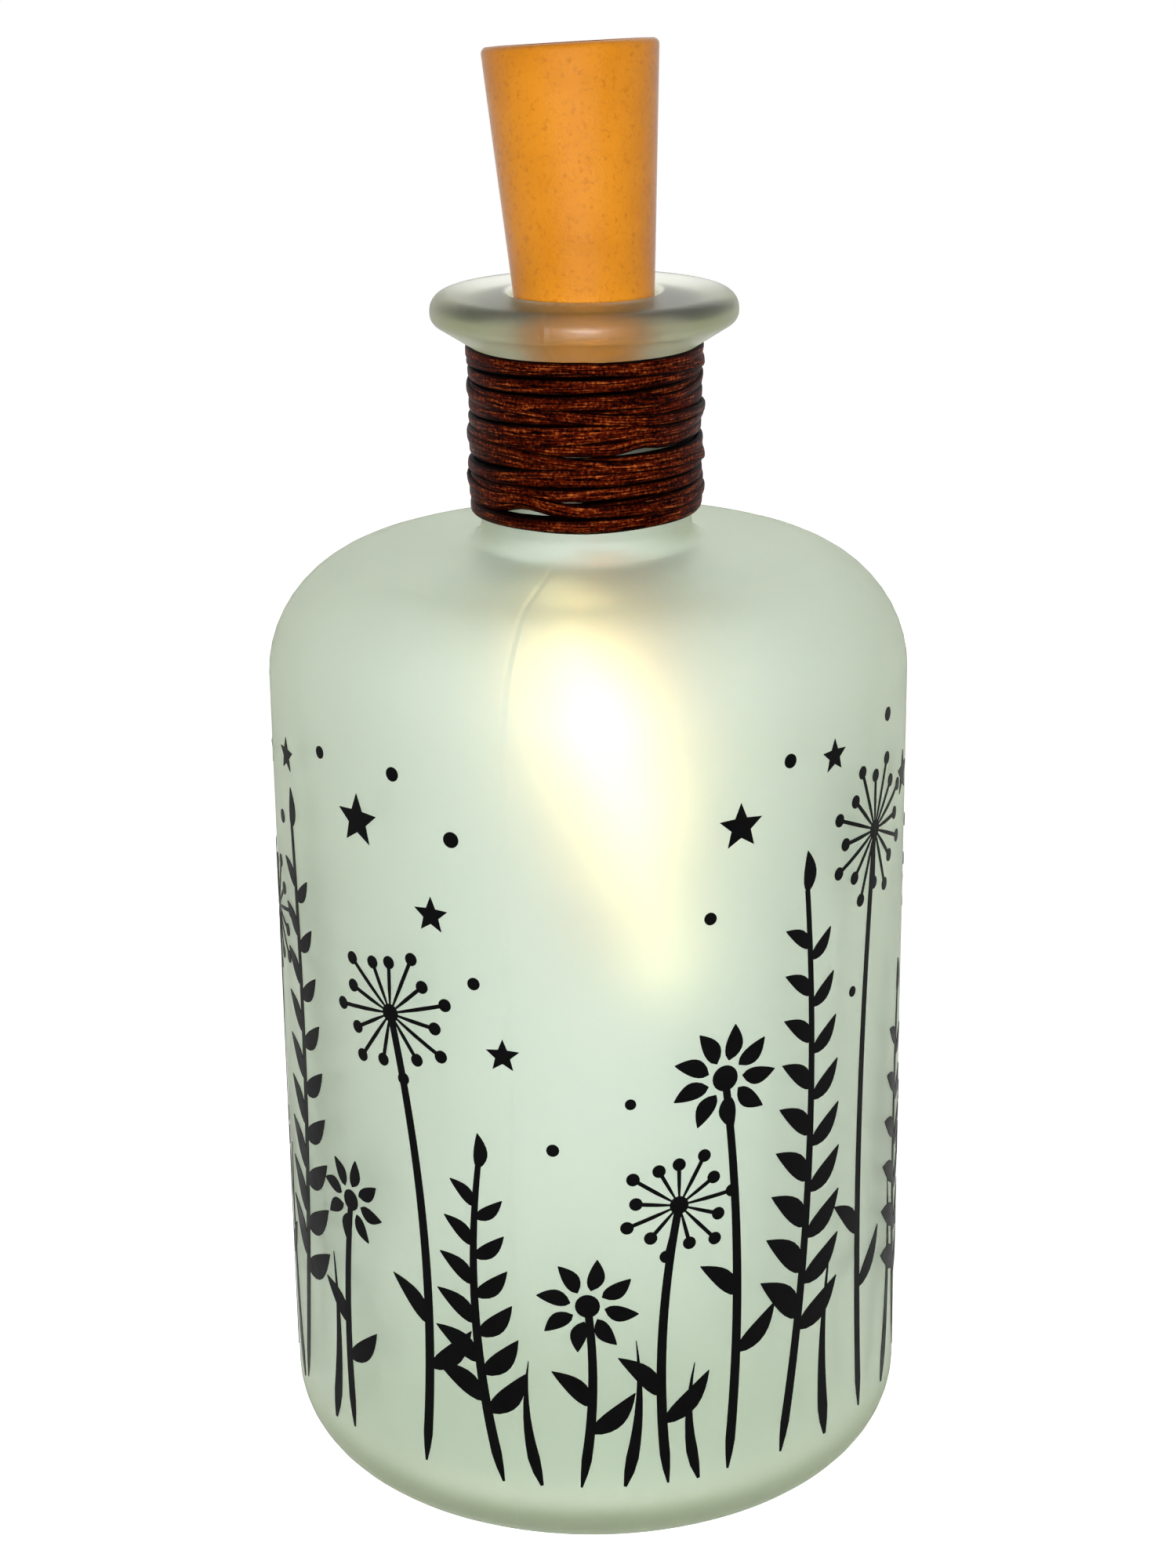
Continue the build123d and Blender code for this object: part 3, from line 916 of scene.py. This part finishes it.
def drawStar(bm, place, radius):
    flat = Matrix.Rotation(math.pi / 2, 4, "X")
    made = bmesh.ops.create_circle(
        bm, cap_ends=True, cap_tris=True, segments=10, radius=1.0, matrix=flat
    )
    rim = [vert for vert in made["verts"] if vert.co.length > 0.5]
    for vert in rim:
        angle = math.atan2(vert.co.x, vert.co.z)
        inner = round(angle / (math.pi / 5)) % 2
        vert.co *= film["starWaist"] if inner else 1.0
    for vert in made["verts"]:
        vert.co = place + vert.co * radius


def drawStem(bm, across, low, tipAcross, high, bow, widths):
    foot = Vector((across, 0, low))
    tip = Vector((tipAcross, 0, high))
    footWidth, tipWidth = (film["stroke"] * width for width in widths)
    drawStroke(bm, foot, tip, bow, footWidth, tipWidth)
    return foot, tip


def drawStemLeaves(bm, foot, tip, bow, leaves):
    for share, lean, length, width in leaves:
        drawLeaf(bm, strokePoint(foot, tip, bow, share), lean, length, width)


def drawFern(bm, across, low, tipAcross, high, bow, pairs, leaf):
    foot, tip = drawStem(bm, across, low, tipAcross, high, bow, film["fernStem"])
    first, run = film["fernPairs"]
    for pair in range(pairs):
        share = first + run * pair / pairs
        place = strokePoint(foot, tip, bow, share)
        way = strokeWay(foot, tip, bow, share)
        lean = math.atan2(way.x, way.z)
        size = leaf * (1.0 - film["fernShrink"] * pair / pairs)
        drawLeaf(bm, place, lean + film["fernLean"], size, size * film["fernWidth"])
        place = place + way * film["fernStep"]
        drawLeaf(bm, place, lean - film["fernLean"], size, size * film["fernWidth"])
    length, width = film["fernTip"]
    start = tip - Vector((0, 0, film["fernOverlap"]))
    drawLeaf(bm, start, 0.0, leaf * length, leaf * width)


def drawSeedHead(bm, across, low, tipAcross, high, bow, head, rays):
    foot, tip = drawStem(bm, across, low, tipAcross, high, bow, film["flowerStem"])
    drawDot(bm, tip, film["stroke"] * film["seedEye"])
    for ray in range(rays):
        angle = 2 * math.pi * ray / rays
        reach = head * (1.0 if ray % 2 else film["seedShort"])
        end = tip + Vector((math.sin(angle), 0, math.cos(angle))) * reach
        drawStroke(bm, tip, end, 0.0, film["seedRay"], film["seedRay"])
        drawDot(bm, end, film["seedDot"], 14)
    drawStemLeaves(bm, foot, tip, bow, film["seedLeaves"])


def drawBlossom(bm, across, low, tipAcross, high, bow, petal, petals):
    foot, tip = drawStem(bm, across, low, tipAcross, high, bow, film["flowerStem"])
    drawDot(bm, tip, petal * film["blossomEye"])
    begin, length, width = film["petal"]
    for number in range(petals):
        angle = 2 * math.pi * number / petals + film["petalTurn"]
        start = tip + Vector((math.sin(angle), 0, math.cos(angle))) * (petal * begin)
        drawLeaf(bm, start, angle, petal * length, petal * width)
    drawStemLeaves(bm, foot, tip, bow, film["blossomLeaves"])


def drawMeadow(bm):
    for row in film["ferns"]:
        drawFern(bm, *row)
    for row in film["seedHeads"]:
        drawSeedHead(bm, *row)
    for row in film["blossoms"]:
        drawBlossom(bm, *row)
    for across, tipAcross, high, bow, width in film["blades"]:
        foot = Vector((across, 0, film["ground"]))
        drawStroke(bm, foot, Vector((tipAcross, 0, high)), bow, width, film["bladeTip"])
    for across, height, radius in film["stars"]:
        drawStar(bm, Vector((across, 0, height)), radius)
    for across, height, radius in film["dots"]:
        drawDot(bm, Vector((across, 0, height)), radius)


def filmMaterial():
    return grainMaterial(
        "blackFilm",
        {
            "dark": (0.0006, 0.0006, 0.0007),
            "light": (0.0020, 0.0020, 0.0022),
            "mottle": 250.0,
            "rough": (0.38, 0.52),
            "shine": 0.03,
            "grain": 3000.0,
            "bump": 0.15,
        },
    )


def addFilm():
    bm = bmesh.new()
    drawMeadow(bm)
    inner = film["radius"] + film["lift"]
    for vert in bm.verts:
        turn = vert.co.x / film["radius"]
        vert.co = Vector((math.sin(turn) * inner, -math.cos(turn) * inner, vert.co.z)) * mm
    bm.normal_update()
    level = Vector((1, 1, 0))
    inward = [face for face in bm.faces if face.normal.dot(face.calc_center_median() * level) < 0]
    bmesh.ops.reverse_faces(bm, faces=inward)
    bmesh.ops.solidify(bm, geom=bm.faces[:], thickness=-film["thickness"] * mm)
    piece = finishPiece(bm, "meadowFilm", "bottle", filmMaterial())
    print("film laid on the glass:", len(piece.data.polygons), "faces")


addFilm()


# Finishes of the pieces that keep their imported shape
innerFinishes = {
    "top_cap": {"dark": (0.50, 0.165, 0.004), "light": (0.62, 0.222, 0.009), "mottle": 90.0,
                "rough": (0.55, 0.68), "grain": 2400.0, "bump": 0.3, "shine": 0.02},
    "push_button": {"dark": (0.50, 0.17, 0.011), "light": (0.62, 0.23, 0.020), "mottle": 300.0,
                    "rough": (0.5, 0.62), "grain": 2500.0, "bump": 0.3, "shine": 0.03},
    "wire_grommet": {"dark": (0.020, 0.020, 0.022), "light": (0.038, 0.037, 0.036), "mottle": 600.0,
                     "rough": (0.62, 0.8), "grain": 3500.0, "bump": 0.35},
    "terminal_board": {"dark": (0.012, 0.090, 0.040), "light": (0.022, 0.145, 0.062), "mottle": 500.0,
                       "rough": (0.28, 0.4), "grain": 3000.0, "bump": 0.2, "coat": 0.4},
    "contact_spring": {"dark": (0.45, 0.44, 0.42), "light": (0.70, 0.69, 0.66), "mottle": 900.0,
                       "rough": (0.2, 0.34), "grain": 4000.0, "bump": 0.1, "metal": 1.0},
    "battery_tray": {"dark": (0.018, 0.018, 0.019), "light": (0.042, 0.041, 0.040), "mottle": 350.0,
                     "rough": (0.42, 0.58), "grain": 2600.0, "bump": 0.25},
    "button_cell_1": {"dark": (0.50, 0.50, 0.49), "light": (0.74, 0.73, 0.71), "mottle": 420.0,
                      "rough": (0.2, 0.36), "grain": 3200.0, "bump": 0.12, "metal": 1.0},
    "positive_contact": {"dark": (0.54, 0.51, 0.45), "light": (0.74, 0.71, 0.64), "mottle": 700.0,
                         "rough": (0.22, 0.36), "grain": 3600.0, "bump": 0.12, "metal": 1.0},
    "series_resistor": {"dark": (0.012, 0.012, 0.013), "light": (0.030, 0.030, 0.031), "mottle": 1500.0,
                        "rough": (0.4, 0.55), "grain": 4200.0, "bump": 0.2},
    "switch_body": {"dark": (0.010, 0.012, 0.016), "light": (0.025, 0.028, 0.034), "mottle": 600.0,
                    "rough": (0.4, 0.55), "grain": 3000.0, "bump": 0.25},
    "switch_plunger": {"dark": (0.55, 0.55, 0.53), "light": (0.72, 0.71, 0.68), "mottle": 800.0,
                       "rough": (0.36, 0.5), "grain": 3000.0, "bump": 0.2},
}
sameFinish = {
    "switch_board": "terminal_board",
    "button_cell_2": "button_cell_1",
    "button_cell_3": "button_cell_1",
    "return_strip": "positive_contact",
}


def dressNode(name, material):
    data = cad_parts[name].data
    data.materials.clear()
    data.materials.append(material)


def dressInside():
    made = {}
    for name, look in innerFinishes.items():
        made[name] = grainMaterial(name.replace("_", "") + "Finish", look)
        dressNode(name, made[name])
    for name, other in sameFinish.items():
        dressNode(name, made[other])
    dressNode("led_chips", beads.data.materials[0])
    print("inner pieces dressed:", len(made) + len(sameFinish) + 1)


dressInside()


# Floor, world and lamps
studio = {
    "floorSize": 6.0,
    "floorDrop": 0.0001,
    "floorColour": 0.8,
    "floorRough": 0.9,
    "floorSeen": 0.76,
    "ambient": 0.3,
    "lamps": [  # name, place, size, watts, whether it shines through glass
        ("front", (0.0, -0.47, 0.20), 0.06, 1.9, True),
        ("left", (-0.55, -0.25, 0.70), 0.5, 0.6, True),
        ("right", (0.60, -0.10, 0.70), 0.5, 0.45, True),
        ("back", (0.15, 0.60, 0.60), 0.5, 0.6, False),
    ],
    "target": (0.0, 0.0, 0.11),
}


def seenDirectly(tree):
    path = tree.nodes.new("ShaderNodeLightPath")
    seen = path.outputs["Is Camera Ray"]
    for name in ("Is Glossy Ray", "Is Transmission Ray"):
        seen = mathNode(tree, "MAXIMUM", seen, path.outputs[name])
    return seen


def addFloor():
    bm = bmesh.new()
    bmesh.ops.create_grid(bm, x_segments=1, y_segments=1, size=studio["floorSize"] / 2)
    bmesh.ops.translate(bm, vec=(0, 0, -studio["floorDrop"]), verts=bm.verts)
    mesh = bpy.data.meshes.new("floor")
    bm.to_mesh(mesh)
    bm.free()
    floor = bpy.data.objects.new("floor", mesh)
    scene.collection.objects.link(floor)
    material, tree, shader = newMaterial("paleFloor")
    shader.inputs["Base Color"].default_value = (*[studio["floorColour"]] * 3, 1)
    shader.inputs["Emission Color"].default_value = (1, 1, 1, 1)
    glow = rangeNode(tree, seenDirectly(tree), 0.0, studio["floorSeen"], 0.0, 1.0)
    tree.links.new(glow, shader.inputs["Emission Strength"])
    shader.inputs["Roughness"].default_value = studio["floorRough"]
    shader.inputs["Specular IOR Level"].default_value = 0.0
    mesh.materials.append(material)


def addWorld():
    world = bpy.data.worlds.new("studioWorld")
    scene.world = world
    world.use_nodes = True
    tree = world.node_tree
    background = tree.nodes["Background"]
    background.inputs["Color"].default_value = (1, 1, 1, 1)
    strength = rangeNode(tree, seenDirectly(tree), studio["ambient"], 1.0, 0.0, 1.0)
    tree.links.new(strength, background.inputs["Strength"])


def addLamps():
    for name, place, size, watts, throughGlass in studio["lamps"]:
        data = bpy.data.lights.new(name, "AREA")
        data.size = size
        data.energy = watts
        lamp = bpy.data.objects.new(name, data)
        lamp.location = place
        lamp.visible_transmission = throughGlass
        way = Vector(studio["target"]) - Vector(place)
        lamp.rotation_euler = way.to_track_quat("-Z", "Y").to_euler()
        scene.collection.objects.link(lamp)


def addStudio():
    addFloor()
    addWorld()
    addLamps()
    scene.view_settings.view_transform = "Standard"
    print("studio set")


addStudio()
